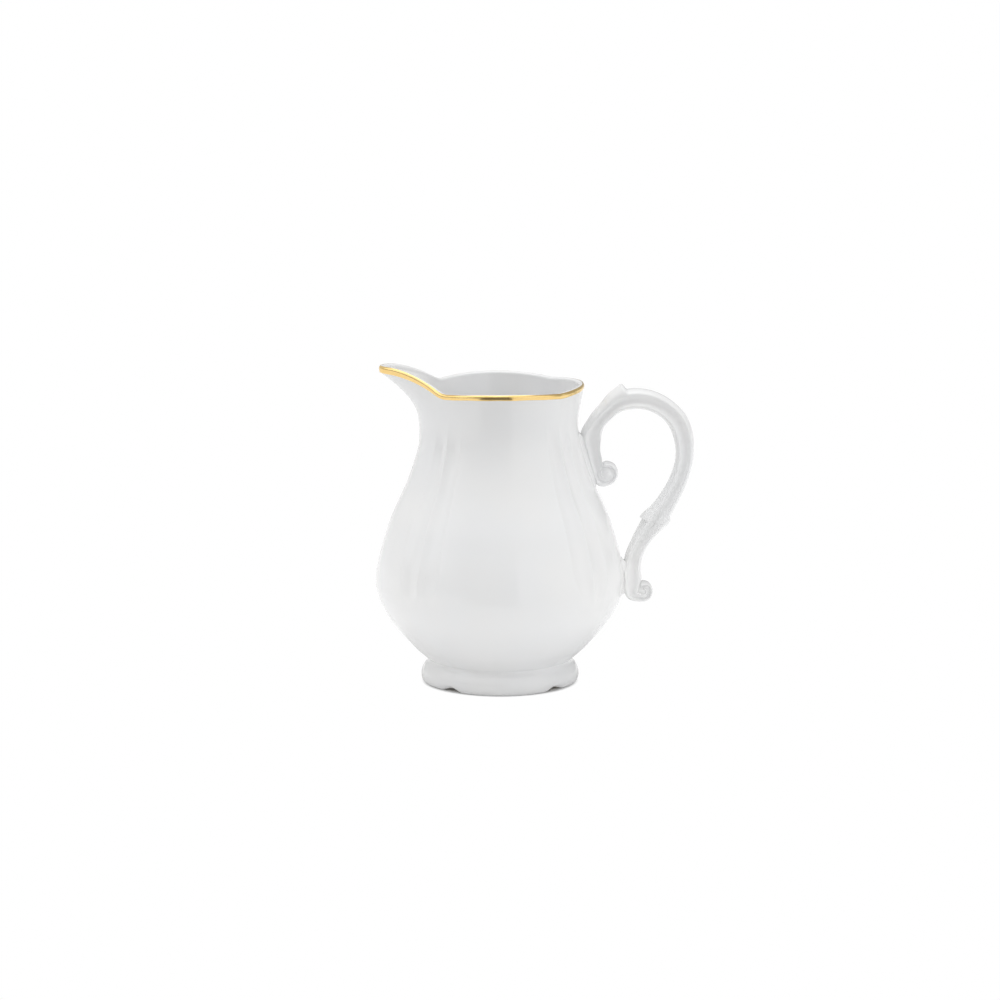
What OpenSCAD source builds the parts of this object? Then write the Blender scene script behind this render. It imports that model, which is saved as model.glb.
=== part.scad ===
// Porcelain cream jug: a four-panelled baluster body with a lifted pouring lip, on a scalloped
// foot, with a scrolled handle. The handle points along +X and the lip along -X. The origin is on
// the jug's axis, in the plane that it stands on.

/* [Body] */
// Outside diameter of the belly at its widest
belly_d = 80.6; // [66:0.2:96]
// Height of the widest ring of the belly above the table
belly_z = 34; // [30:1:42]
// Outside diameter of the waist, where the body stands on its foot
waist_d = 46.4; // [38:0.2:56]
// Outside diameter of the neck at its narrowest
neck_d = 50.6; // [42:0.2:58]
// Height of the narrowest ring of the neck above the table
neck_z = 86; // [82:1:92]
// Outside diameter of the mouth in the middle of a panel
mouth_d = 54.2; // [46:0.2:62]
// Height of the mouth in the middle of a panel, up to where its edge starts to round over
mouth_z = 97; // [94:1:118]

/* [Wall] */
// Thickness of the wall at the bottom of the body
wall = 2.8; // [2:0.1:3.6]
// Thickness of the wall at the mouth, which is also the width of its rounded edge
lip_t = 1.8; // [1.4:0.1:2.6]
// Thickness of the floor inside
floor_t = 3.2; // [2.4:0.1:5]

/* [Flutes] */
// Angle on each side of a corner that its pair of flutes takes up
flute_w = 12; // [8:1:16]
// Depth of a flute
flute_d = 0.8; // [0.2:0.1:1]
// Height where the flutes run out on the belly
flute_low = 29; // [26:1:40]
// Height where the flutes run out under the mouth
flute_top = 88; // [80:1:92]
// How far the mouth draws in at its corners
mouth_lobe = 0.8; // [0:0.1:1.5]
// How far the mouth's edge dips at its corners
mouth_dip = 0.9; // [0:0.1:2]

/* [Pouring lip] */
// Height where the lip starts to leave the body
spout_z = 80; // [76:1:84]
// How far the tip stands out past the mouth
spout_out = 11.8; // [6:0.2:15]
// How far the tip rises above the mouth
spout_rise = 6.1; // [2:0.1:9]
// Share of the panel's half width that the channel takes up
spout_w = 0.8; // [0.6:0.05:1]
// How far the neck stands out under the lip
throat = 0.7; // [0:0.1:1.4]

/* [Foot] */
// Height of the foot, up to the waist
foot_h = 7.6; // [6:0.2:9]
// How far the foot's bulge stands out past the waist
foot_flare = 2.4; // [1.4:0.1:4]
// How far the foot draws in from its bulge to where it meets the table
tread_in = 1.2; // [0.6:0.1:1.4]
// How far the foot draws in at its four corners
foot_lobe = 1.3; // [0:0.1:2]
// Height of the small arch under each corner of the foot
foot_arch = 1.1; // [0:0.1:1.4]
// Width of the glazed tread outside the unglazed ring, at a corner
tread_w = 0.4; // [0.3:0.1:1]
// Width of the unglazed ring that the jug stands on
ring_w = 2.4; // [1.6:0.1:3]
// Height of the unglazed ring
ring_h = 1.6; // [1.6:0.1:2.4]
// Gap round the unglazed ring in its seat
ring_gap = 0.2; // [0.1:0.05:0.4]

/* [Handle] */
// Scale of the handle's thickness
strap_scale = 1; // [0.8:0.05:1.2]
// Scale of the handle's depth from side to side
depth_scale = 1; // [0.8:0.05:1.2]
// How far the handle's bow reaches out, added to its drawn place
bow_out = 0; // [-6:0.5:8]
// Thickness of the slip that joins the handle to the body
slip_t = 0.3; // [0.2:0.05:0.6]
// Height of the thumb leaf's point above the strap
leaf_h = 2.2; // [1:0.1:2.6]
// How far the knuckle leaf stands out from the strap's ribs
knuckle_out = 1.2; // [0.2:0.1:1.6]
// Angle that the strap leans over by at the knuckle
knuckle_tilt = 22; // [0:1:30]

/* [Gilding] */
// Height of the gold line on the outside, below the rounded edge
gilt_h = 0.7; // [0.4:0.1:2]
// Thickness of the gold line
gilt_t = 0.15; // [0.1:0.05:0.3]

/* [Hidden] */

PORCELAIN = "#eceae6";
SLIP = "#dfddd8";
BISCUIT = "#d9d2c4";
GOLD = "#b98a2e";

// Radii and rises that the profile is drawn from
belly_r = belly_d / 2;
waist_r = waist_d / 2;
neck_r = neck_d / 2;
mouth_r = mouth_d / 2;
low = belly_z - foot_h;
high = neck_z - belly_z;

// The unglazed ring's place, inside the foot's tread
tread_r = waist_r + foot_flare - tread_in;
ring_r = tread_r - foot_lobe - tread_w;

// The outside of a panel, from waist to mouth, as [height, radius]
PROFILE = profile(waist_r, belly_r, neck_r, mouth_r);

// Rows of the wall: even steps up to the lip's root, then shares of the way to the mouth
ROWS = 18;
band = 1 - gilt_h / (mouth_z - spout_z);
RISE = [0.2, 0.4, 0.6, 0.8, band, 1];
CAP = [36, 72, 108, 144];
GILT_TURNS = [0, CAP[0], CAP[1]];
FLOOR_ROW = 2;
row_step = (spout_z - foot_h) / ROWS;

// Columns of the wall, as angles: fine in the flutes, wide across the panels
panel_half = 45 - flute_w;
SPREAD = [0.18, 0.42, 0.7];
QUARTER = concat([for (k = [1:4]) k * flute_w / 4 - 45],
                 [for (k = [2:-1:0]) -SPREAD[k] * panel_half],
                 [0],
                 [for (k = [0:2]) SPREAD[k] * panel_half],
                 [for (k = [4:-1:0]) 45 - k * flute_w / 4]);
COLUMNS = [for (q = [0:3]) for (a = QUARTER) 90 * q + a];
COUNT = len(COLUMNS);
SPOUT_FIRST = 2 * len(QUARTER) - 1;
SPOUT_LAST = 3 * len(QUARTER) - 1;

// ---- curves ----

function unit(v) = v / norm(v);
function last(v) = v[len(v) - 1];
function backwards(v) = [for (i = [len(v) - 1:-1:0]) v[i]];
function ease(t) = (1 - cos(180 * min(1, max(0, t)))) / 2;
function hump(t) = 1 - ease(abs(t));

// Height of a smooth curve through [x, y] keys
function slope(keys, i) =
    let (a = keys[max(0, i - 1)], b = keys[min(len(keys) - 1, i + 1)])
    (b.y - a.y) / (b.x - a.x);
function span(keys, x, i = 0) =
    i >= len(keys) - 2 || x < keys[i + 1].x ? i : span(keys, x, i + 1);
function curve(keys, x) =
    let (i = span(keys, x), h = keys[i + 1].x - keys[i].x, t = (x - keys[i].x) / h, u = 1 - t)
    keys[i].y * (1 + 2 * t) * u * u + slope(keys, i) * h * t * u * u
    + keys[i + 1].y * (3 - 2 * t) * t * t - slope(keys, i + 1) * h * u * t * t;

// A smooth line through points of any kind, n steps from each to the next
function between(p, i, t) =
    let (a = p[max(0, i - 1)], b = p[i], c = p[i + 1], d = p[min(len(p) - 1, i + 2)])
    0.5 * (2 * b + (c - a) * t + (2 * a - 5 * b + 4 * c - d) * t * t
           + (3 * b - a - 3 * c + d) * t * t * t);
function refine(p, n) =
    concat([for (i = [0:len(p) - 2]) for (k = [0:n - 1]) between(p, i, k / n)], [last(p)]);

// ---- the wall's surface ----

// The panel's outline for four radii, at this jug's heights
function profile(waist, belly, neck, mouth) =
    let (hip = belly - waist, shoulder = belly - neck)
    [[foot_h, waist], [foot_h + 0.2 * low, waist + 0.33 * hip],
     [foot_h + 0.6 * low, waist + 0.82 * hip], [belly_z, belly],
     [belly_z + 0.35 * high, neck + 0.715 * shoulder],
     [belly_z + 0.62 * high, neck + 0.31 * shoulder],
     [belly_z + 0.85 * high, neck + 0.06 * shoulder], [neck_z, neck], [mouth_z, mouth]];

// Angle from the nearest corner; the corners are half way between handle, lip and the two sides
function off_corner(a) = abs(((a % 90) + 90) % 90 - 45);
// 0 in the middle of a panel, 1 at a corner, with a crease there
function scallop(a) = 1 - abs(cos(2 * a));
// Two hollows side by side, with a ridge between them on the corner
function flute(a, z) =
    off_corner(a) >= flute_w ? 0
    : sin(180 * off_corner(a) / flute_w) * ease((z - flute_low) / 10) * ease((flute_top - z) / 10);
// How far a corner draws in at each height: at the waist, and again towards the mouth
function lobe(z) =
    0.5 * foot_lobe * (1 - ease((z - foot_h) / 8)) + mouth_lobe * ease((z - spout_z) / 16);
function wall_r(a, z, cut) =
    curve(PROFILE, z) - lobe(z) * scallop(a) - cut * flute_d * flute(a, z);
function edge_z(a) = mouth_z - mouth_dip * scallop(a);

// Place across the lip's panel: 0 in its middle, 1 at its corners
function across(a) = abs(((a % 360) + 360) % 360 - 180) / 45;
function channel(v) = pow(hump(v / spout_w), 1.15);
function lift(v) = 1 - ease((v - 0.2) / 0.75);
// Under the lip the neck swells by the throat, most at a little above the lip's root
function swell(z) = throat * hump((z - spout_z - 3.5) / 7);
function skin(a, z, cut) =
    let (s = max(0, (z - spout_z) / (edge_z(a) - spout_z)),
         r = wall_r(a, z, cut),
         out = (spout_out * pow(min(1, s / band), 3.1) + swell(z)) * channel(across(a)),
         up = spout_rise * s * s * lift(across(a)))
    [r * cos(a) - out, r * sin(a), z + up];

function upward(a, z) = unit(skin(a, z + 0.3, 0) - skin(a, z - 0.3, 0));
function outward(a, z) = unit(cross(skin(a + 0.5, z, 0) - skin(a - 0.5, z, 0), upward(a, z)));
function thick(z) = wall + (lip_t - wall) * ease((z - belly_z) / (mouth_z - belly_z));
function inside(a, z) = skin(a, z, 0) - thick(z) * outward(a, z);

function row_z(a, j) =
    j <= ROWS ? foot_h + j * row_step
    : spout_z + RISE[j - ROWS - 1] * (edge_z(a) - spout_z);
// A point on the rounded edge: 0 is its outer side, 180 its inner side, and more stands it off
function edge(a, turn, more = 0) =
    let (z = edge_z(a), n = outward(a, z), t = upward(a, z), r = lip_t / 2)
    skin(a, z, 1) - r * n + (r + more) * (cos(turn) * n + sin(turn) * t);

// One column of the wall: up the outside, over the edge and down the inside
TOP = ROWS + len(RISE);
function outside_rows(a, first) = [for (j = [first:TOP]) skin(a, row_z(a, j), 1)];
function inside_rows(a, first) = [for (j = [TOP:-1:first]) inside(a, row_z(a, j))];
function column(a, first, inner_first) =
    concat(outside_rows(a, first), [for (t = CAP) edge(a, t)], inside_rows(a, inner_first));

// ---- solids from points ----

function flat(lists) = [for (l = lists) each l];
function quad(a, b, c, d) = [[a, b, c], [a, c, d]];

// A skin over rings of points, each ring closed, with an end face on the first and the last
module tube(rings) {
    n = len(rings[0]);
    sides = [for (k = [0:len(rings) - 2]) for (i = [0:n - 1])
             each quad(k * n + i, (k + 1) * n + i, (k + 1) * n + (i + 1) % n, k * n + (i + 1) % n)];
    first = [for (i = [0:n - 1]) i];
    final = [for (i = [n - 1:-1:0]) (len(rings) - 1) * n + i];
    polyhedron(flat(rings), concat(sides, [first], [final]), convexity = 8);
}

// The same, with the last ring joined to the first
module hoop(rings) {
    n = len(rings[0]);
    m = len(rings);
    sides = [for (k = [0:m - 1]) for (i = [0:n - 1])
             each quad(k * n + i, ((k + 1) % m) * n + i,
                       ((k + 1) % m) * n + (i + 1) % n, k * n + (i + 1) % n)];
    polyhedron(flat(rings), sides, convexity = 8);
}

// The step in the wall where the lip is let in. Row numbers count along a column from the
// outside's row a over the edge to the inside's row d.
function seam_side(base, a, d) =
    let (n = len(RISE))
    concat([for (k = [0:n - 1])
            each quad(base + a + k, base + a + k + 1, base + d - k - 1, base + d - k)],
           [[for (j = [a + n:d - n]) base + j]]);
function turned(faces) = [for (f = faces) backwards(f)];

// ---- body ----

module body() {
    floor_z = foot_h + floor_t;
    floor_r = waist_r - wall;
    points = [for (a = COLUMNS)
              concat(column(a, 0, FLOOR_ROW), [[floor_r * cos(a), floor_r * sin(a), floor_z]])];
    m = len(points[0]);
    root_out = ROWS;
    root_in = m - 2 - (ROWS - FLOOR_ROW);
    wall_faces = [for (i = [0:COUNT - 1]) for (j = [0:m - 2])
                  if (!(i >= SPOUT_FIRST && i < SPOUT_LAST && j >= root_out && j < root_in))
                  each quad(i * m + j, i * m + j + 1,
                            ((i + 1) % COUNT) * m + j + 1, ((i + 1) % COUNT) * m + j)];
    sill = [for (i = [SPOUT_FIRST:SPOUT_LAST - 1])
            each quad(i * m + root_out, i * m + root_in,
                      (i + 1) * m + root_in, (i + 1) * m + root_out)];
    under = [for (i = [0:COUNT - 1]) i * m];
    floor_face = [for (i = [COUNT - 1:-1:0]) i * m + m - 1];
    color(PORCELAIN)
    polyhedron(flat(points),
               concat(wall_faces, sill, seam_side(SPOUT_FIRST * m, root_out, root_in),
                      turned(seam_side(SPOUT_LAST * m, root_out, root_in)),
                      [under], [floor_face]),
               convexity = 10);
}

// ---- pouring lip ----

module pouring_lip() {
    points = [for (i = [SPOUT_FIRST:SPOUT_LAST]) column(COLUMNS[i], ROWS, ROWS)];
    m = len(points[0]);
    cells = SPOUT_LAST - SPOUT_FIRST;
    faces = [for (i = [0:cells - 1]) for (j = [0:m - 2])
             each quad(i * m + j, i * m + j + 1, (i + 1) * m + j + 1, (i + 1) * m + j)];
    sill = [for (i = [0:cells - 1])
            each turned(quad(i * m, i * m + m - 1, (i + 1) * m + m - 1, (i + 1) * m))];
    color(PORCELAIN)
    polyhedron(flat(points),
               concat(faces, sill, turned(seam_side(0, 0, m - 1)),
                      seam_side(cells * m, 0, m - 1)),
               convexity = 8);
}

// ---- foot ----

function arch(a) = foot_arch * hump(off_corner(a) / flute_w);
function foot_section(a) =
    let (draw = foot_lobe * scallop(a),
         bulge = waist_r + foot_flare - draw,
         tread = tread_r - draw,
         seat = ring_r + ring_gap,
         recess = ring_r - ring_w - ring_gap,
         waist = wall_r(a, foot_h, 0))
    [[waist, foot_h], [waist + 0.4, 0.88 * foot_h], [bulge - 1, 0.76 * foot_h],
     [bulge - 0.7, 0.6 * foot_h], [bulge, 0.34 * foot_h], [bulge - 0.3, 0.13 * foot_h + arch(a)],
     [tread, arch(a)], [seat, arch(a)], [seat, ring_h],
     [recess, ring_h], [recess - 0.1, 0.7 * foot_h], [recess - 0.9, foot_h]];

module foot_ring() {
    color(PORCELAIN)
    hoop([for (a = COLUMNS) [for (p = backwards(foot_section(a))) [p.x * cos(a), p.x * sin(a), p.y]]]);
}

module standing_ring() {
    inner = ring_r - ring_w;
    soft = 0.5;
    color(BISCUIT)
    rotate_extrude($fn = 96)
    polygon([[inner, ring_h], [inner, soft], [inner + soft, 0], [ring_r - soft, 0],
             [ring_r, soft], [ring_r, ring_h]]);
}

// ---- handle ----

// One half of the strap's section: towards the outside of the bow, then towards one side. A
// hollow runs along the side between two rounded ribs.
HALF = [[0.88, 0.55], [0.55, 0.95], [0.1, 0.8], [-0.35, 0.8], [-0.7, 0.95], [-0.93, 0.5]];
SECTION = concat([[1, 0]], HALF, [[-1, 0]], [for (p = backwards(HALF)) [p.x, -p.y]]);

// A scroll is the strap's end, rolled up tight round its centre. Its outer and inner edges are
// distances from the centre, and its points are [x, z, half thickness, half depth].
VOLUTE_STEPS = 7;
UPPER_EDGE = [4.6, 4.9, 4.2, 4, 3.9, 3.85, 3.5, 1.9];
LOWER_EDGE = [6, 4, 3.5, 3.3, 3.2, 3.15, 2.9, 1.6];
EYE_EDGE = [1.3, 0.6, 0.3, 0.2, 0.2, 0.2, 0.3, 0.5];
function volute(z, reach, outer) =
    [for (k = [0:VOLUTE_STEPS])
     let (t = k / VOLUTE_STEPS, turn = 190 + 310 * t, r = (outer[k] + EYE_EDGE[k]) / 2)
     [stand(z) + (reach + r * cos(turn)) * strap_scale, z + r * sin(turn) * strap_scale,
      (outer[k] - EYE_EDGE[k]) / 2, k < VOLUTE_STEPS ? 3.4 + 0.4 * t : 2.8]];

// Where the strap lies along the body, its middle line keeps half its thickness off the slip
function stand(z) = curve(PROFILE, z) + slip_t;
function hug(z, half, depth) = [stand(z) + half * strap_scale, z, half, depth];

// Where it is free, its points are drawn for a jug with these radii, and move with the wall
DRAWN = profile(23.2, 40.3, 25.3, 27.1);
function free(points) =
    [for (p = points)
     [p.x + curve(PROFILE, p.y) - curve(DRAWN, p.y) + bow_out * ease((p.x - 30) / 20), p.y,
      p.z, p[3]]];

// The bow's middle line from the body, over the top and down to the knuckle
BOW = concat([hug(72, 2.3, 3.4), hug(76, 2.55, 3.5), hug(80.5, 3.2, 3.6)],
             free([[31.5, 85, 2.7, 3.6], [34.5, 88.2, 2.7, 3.6], [37.7, 91, 3.1, 3.7],
                   [41.2, 92.2, 3.3, 3.8], [45.3, 92.4, 3.3, 3.8], [49.9, 91.3, 3.25, 3.7],
                   [54.6, 88.4, 3.2, 3.6], [58.1, 84, 3.3, 3.5], [59.8, 78, 3.1, 3.4],
                   [59.7, 71.9, 2.85, 3.4], [57.9, 65.5, 2.85, 3.5], [55, 59.7, 3.1, 3.6],
                   [52.4, 55.6, 3.4, 3.8]]));
KNUCKLE = free([[51.3, 54, 3.6, 3.9], [50.3, 52.6, 3.6, 3.9], [49.3, 51.2, 3.5, 3.8]]);
TAIL = concat(free([[47.3, 48.2, 3.1, 3.6], [45.1, 44.4, 2.8, 3.4], [43.5, 40.4, 2.8, 3.4]]),
              [hug(36.4, 2.75, 3.4), hug(33, 2.75, 3.4)]);
HANDLE = concat(backwards(volute(68.3, 4.9, UPPER_EDGE)), BOW, KNUCKLE, TAIL,
                volute(29.3, 6.6, LOWER_EDGE));

STEPS = 3;
BOW_FIRST = STEPS * (VOLUTE_STEPS + 1);
KNUCKLE_FIRST = BOW_FIRST + STEPS * len(BOW);
KNUCKLE_LAST = KNUCKLE_FIRST + STEPS * (len(KNUCKLE) - 1);
TAIL_LAST = KNUCKLE_LAST + STEPS * len(TAIL);

LINE = refine([for (p = HANDLE) [p.x, p.y, p.z * strap_scale, p[3] * depth_scale]], STEPS);

// Keeps a point off the body by the slip's thickness
function seated(p) =
    let (r = curve(PROFILE, max(foot_h, min(mouth_z, p.z))) + slip_t,
         face = sqrt(max(0, r * r - p.y * p.y)))
    [max(p.x, face), p.y, p.z];

// The strap's outward direction at a station: square to its run, but leaning over at the knuckle
function strap_out(i) =
    let (run = unit([for (k = [0:1]) LINE[min(len(LINE) - 1, i + 1)][k] - LINE[max(0, i - 1)][k]]),
         lean = knuckle_tilt * hump((i - (KNUCKLE_FIRST + KNUCKLE_LAST) / 2) / (3 * STEPS)))
    [-run.y * cos(lean) - run.x * sin(lean), 0, run.x * cos(lean) - run.y * sin(lean)];
function strap_point(i, u, v, more = 0) =
    let (c = LINE[i], n = strap_out(i))
    [c.x, 0, c.y] + (c.z + more) * u * n - [0, (c[3] + more) * v, 0];
function strap_ring(i) = [for (p = SECTION) seated(strap_point(i, p.x, p.y))];

module strap(first, final) {
    tube([for (i = [first:final]) strap_ring(i)]);
}

module handle_bow() {
    color(PORCELAIN) strap(BOW_FIRST, KNUCKLE_FIRST);
}

module handle_tail() {
    color(PORCELAIN) strap(KNUCKLE_LAST, TAIL_LAST);
}

module upper_scroll() {
    color(PORCELAIN) strap(0, BOW_FIRST);
}

module lower_scroll() {
    color(PORCELAIN) strap(TAIL_LAST, len(LINE) - 1);
}

// The leaf wraps the strap and stands off its two ribs more and more towards the free edge, and
// the hollow between them stays almost as deep
module knuckle_leaf() {
    function off_rib(u) = max(0.15, min(1, abs(u + 0.1) / 0.6));
    color(PORCELAIN)
    tube([for (i = [KNUCKLE_FIRST:KNUCKLE_LAST])
          let (t = (i - KNUCKLE_FIRST) / (KNUCKLE_LAST - KNUCKLE_FIRST))
          [for (p = SECTION)
           strap_point(i, p.x, p.y, knuckle_out * (0.2 + 0.8 * t) * off_rib(p.x))]]);
}

// The leaf lies on the outer side of the strap, from the body up to its raised point
module thumb_leaf() {
    first = BOW_FIRST + 3 * STEPS - 1;
    peak = BOW_FIRST + 6 * STEPS - 1;
    final = peak + 2;
    outer = [12, 13, 0, 1, 2];
    taper = [0.35, 0.8, 1, 0.8, 0.35];
    function height(i) =
        let (t = (i - first) / (peak - first))
        leaf_h * (i > peak ? 0.2 : 0.15 + 0.3 * t + 0.55 * pow(t, 6));
    function at(i, k, up) =
        seated(strap_point(i, SECTION[outer[k]].x, SECTION[outer[k]].y) + up * strap_out(i));
    color(PORCELAIN)
    tube([for (i = [first:final])
          concat([for (k = [0:4]) at(i, k, height(i) * taper[k])],
                 [for (k = [4:-1:0]) at(i, k, 0)])]);
}

// ---- slip joints ----

// A pad of slip on the body under the handle, between two rows of the wall
module slip_joint(low_row, high_row) {
    angles = [for (k = [-1:1]) SPREAD[0] * panel_half * k];
    color(SLIP)
    tube([for (j = [low_row:high_row])
          let (z = row_z(0, j))
          concat([for (a = backwards(angles)) skin(a, z, 1)],
                 [for (a = angles) skin(a, z, 1) + slip_t * [cos(a), sin(a), 0]])]);
}

module upper_slip_joint() {
    slip_joint(ROWS - 3, ROWS);
}

module lower_slip_joint() {
    slip_joint(6, 8);
}

// ---- gilding ----

module gilt_line() {
    color(GOLD)
    hoop([for (a = COLUMNS)
          let (z = row_z(a, TOP - 1), n = outward(a, z), face = skin(a, z, 1))
          concat([face], [for (t = GILT_TURNS) edge(a, t)],
                 backwards([for (t = GILT_TURNS) edge(a, t, gilt_t)]), [face + gilt_t * n])]);
}

body();
pouring_lip();
foot_ring();
standing_ring();
handle_bow();
handle_tail();
upper_scroll();
lower_scroll();
thumb_leaf();
knuckle_leaf();
upper_slip_joint();
lower_slip_joint();
gilt_line();
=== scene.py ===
"""Porcelain cream jug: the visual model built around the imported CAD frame.

Lengths in the shape functions are millimetres in the row frame, as in part.scad, and become
metres when a mesh is made. The handle points along +X, the pouring lip along -X.
"""

import math

import bpy
import numpy as np
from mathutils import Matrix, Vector


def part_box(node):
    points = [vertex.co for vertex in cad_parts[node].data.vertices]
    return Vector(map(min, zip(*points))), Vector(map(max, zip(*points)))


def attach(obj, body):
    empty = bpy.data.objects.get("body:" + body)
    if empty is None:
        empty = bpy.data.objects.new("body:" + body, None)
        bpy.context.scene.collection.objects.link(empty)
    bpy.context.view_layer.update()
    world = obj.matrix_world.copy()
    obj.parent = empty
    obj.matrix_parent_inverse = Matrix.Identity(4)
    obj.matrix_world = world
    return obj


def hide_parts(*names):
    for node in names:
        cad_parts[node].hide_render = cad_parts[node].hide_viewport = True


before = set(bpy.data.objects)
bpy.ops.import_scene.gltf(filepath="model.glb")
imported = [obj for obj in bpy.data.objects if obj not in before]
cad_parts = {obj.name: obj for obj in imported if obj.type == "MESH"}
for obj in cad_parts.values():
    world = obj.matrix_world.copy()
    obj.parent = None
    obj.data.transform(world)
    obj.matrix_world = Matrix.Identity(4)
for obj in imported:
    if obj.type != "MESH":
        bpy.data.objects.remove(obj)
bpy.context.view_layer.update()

# ---------------------------------------------------------------- sizes, as in part.scad
FOOT_H, BELLY_Z, NECK_Z, MOUTH_Z = 7.6, 34.0, 86.0, 97.0
WAIST_R, BELLY_R, NECK_R, MOUTH_R = 23.2, 40.3, 25.3, 27.1
WALL, LIP_T, FLOOR_T = 2.8, 1.8, 3.2
FLUTE_W, FLUTE_D, FLUTE_LOW, FLUTE_TOP = 12.0, 0.8, 29.0, 88.0
MOUTH_LOBE, MOUTH_DIP = 0.8, 0.9
SPOUT_Z, SPOUT_OUT, SPOUT_RISE, SPOUT_W, THROAT = 80.0, 11.8, 6.1, 0.8, 0.7
FOOT_FLARE, TREAD_IN, FOOT_LOBE, FOOT_ARCH = 2.4, 1.2, 1.3, 1.1
TREAD_W, RING_W, RING_H, RING_GAP = 0.4, 2.4, 1.6, 0.08
SLIP_T, LEAF_H, KNUCKLE_OUT = 0.3, 2.2, 1.2
GILT_H, GILT_T, GILT_TURN, GILT_LIP, GILT_UNDER = 0.7, 0.1, 76.0, 0.7, 0.06
BAND = 1 - GILT_H / (MOUTH_Z - SPOUT_Z)
TREAD_R = WAIST_R + FOOT_FLARE - TREAD_IN
RING_R = TREAD_R - FOOT_LOBE - TREAD_W

# Metres in one of the CAD's millimetres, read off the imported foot
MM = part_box("foot_ring")[1].x / (WAIST_R + FOOT_FLARE)


# ---------------------------------------------------------------- curves
def ease(t):
    return (1 - np.cos(np.pi * np.clip(t, 0, 1))) / 2


def hump(t):
    return 1 - ease(np.abs(t))


def cos(a):
    return np.cos(np.radians(a))


def sin(a):
    return np.sin(np.radians(a))


def unit(v):
    return v / np.maximum(np.linalg.norm(v, axis=-1, keepdims=True), 1e-12)


def curve(keys, x):
    """Height at x of a smooth curve through [x, y] keys."""
    keys = np.asarray(keys, float)
    kx, ky = keys[:, 0], keys[:, 1]
    slope = np.empty(len(keys))
    slope[1:-1] = (ky[2:] - ky[:-2]) / (kx[2:] - kx[:-2])
    slope[0] = (ky[1] - ky[0]) / (kx[1] - kx[0])
    slope[-1] = (ky[-1] - ky[-2]) / (kx[-1] - kx[-2])
    x = np.asarray(x, float)
    i = np.clip(np.searchsorted(kx, x, side="right") - 1, 0, len(keys) - 2)
    h = kx[i + 1] - kx[i]
    t = (x - kx[i]) / h
    u = 1 - t
    return (ky[i] * (1 + 2 * t) * u * u + slope[i] * h * t * u * u
            + ky[i + 1] * (3 - 2 * t) * t * t - slope[i + 1] * h * u * t * t)


def through(points, t, closed=False):
    """Points on a smooth line through points, at t counted in points."""
    p = np.asarray(points, float)
    n = len(p)
    t = np.asarray(t, float)
    i = np.floor(t).astype(int)
    if closed:
        a, b, c, d = (p[(i + k) % n] for k in (-1, 0, 1, 2))
    else:
        i = np.clip(i, 0, n - 2)
        a, b, c, d = (p[np.clip(i + k, 0, n - 1)] for k in (-1, 0, 1, 2))
    f = (t - i)[..., None]
    return 0.5 * (2 * b + (c - a) * f + (2 * a - 5 * b + 4 * c - d) * f * f
                  + (3 * b - a - 3 * c + d) * f ** 3)


# ---------------------------------------------------------------- the wall's surface
LOW, HIGH = BELLY_Z - FOOT_H, NECK_Z - BELLY_Z
HIP, SHOULDER = BELLY_R - WAIST_R, BELLY_R - NECK_R
PROFILE = [[FOOT_H, WAIST_R], [FOOT_H + 0.2 * LOW, WAIST_R + 0.33 * HIP],
           [FOOT_H + 0.6 * LOW, WAIST_R + 0.82 * HIP], [BELLY_Z, BELLY_R],
           [BELLY_Z + 0.35 * HIGH, NECK_R + 0.715 * SHOULDER],
           [BELLY_Z + 0.62 * HIGH, NECK_R + 0.31 * SHOULDER],
           [BELLY_Z + 0.85 * HIGH, NECK_R + 0.06 * SHOULDER], [NECK_Z, NECK_R],
           [MOUTH_Z, MOUTH_R]]


def off_corner(a):
    return np.abs(np.mod(a, 90) - 45)


def scallop(a):
    """0 in the middle of a panel, 1 at a corner; the crease at the corner is rounded."""
    return 1 - np.sqrt(cos(2 * a) ** 2 + 0.0025) + 0.05 * (1 - np.abs(cos(2 * a)))


def flute(a, z):
    """Two hollows side by side with a ridge between them, narrowing to a round low end."""
    ends = ease((z - FLUTE_LOW) / 10) * ease((FLUTE_TOP - z) / 10)
    width = FLUTE_W * (0.62 + 0.38 * ease((z - FLUTE_LOW) / 13))
    x = off_corner(a) / width
    return np.where(x < 1, np.sin(np.pi * np.clip(x, 0, 1)), 0) * ends


def lobe(z):
    return (0.5 * FOOT_LOBE * (1 - ease((z - FOOT_H) / 8))
            + MOUTH_LOBE * ease((z - SPOUT_Z) / 16))


def wall_r(a, z, cut):
    return curve(PROFILE, z) - lobe(z) * scallop(a) - cut * FLUTE_D * flute(a, z)


def edge_z(a):
    return MOUTH_Z - MOUTH_DIP * scallop(a)


def across(a):
    """Place across the lip's panel: 0 in its middle, 1 at its corners."""
    return np.abs(np.mod(a, 360) - 180) / 45


def skin(a, z, cut=1.0):
    a, z = np.broadcast_arrays(np.asarray(a, float), np.asarray(z, float))
    s = np.maximum(0, (z - SPOUT_Z) / (edge_z(a) - SPOUT_Z))
    r = wall_r(a, z, cut)
    v = across(a)
    out = ((SPOUT_OUT * np.minimum(1, s / BAND) ** 3.1 + THROAT * hump((z - SPOUT_Z - 3.5) / 7))
           * hump(v / SPOUT_W) ** 1.15)
    up = SPOUT_RISE * s * s * (1 - ease((v - 0.2) / 0.75))
    return np.stack([r * cos(a) - out, r * sin(a), z + up], -1)


def upward(a, z):
    return unit(skin(a, z + 0.3, 0) - skin(a, z - 0.3, 0))


def outward(a, z):
    return unit(np.cross(skin(a + 0.5, z, 0) - skin(a - 0.5, z, 0), upward(a, z)))


def thick(z):
    return WALL + (LIP_T - WALL) * ease((z - BELLY_Z) / (MOUTH_Z - BELLY_Z))


def inside(a, z):
    return skin(a, z, 0.7) - np.asarray(thick(z))[..., None] * outward(a, z)


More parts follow.
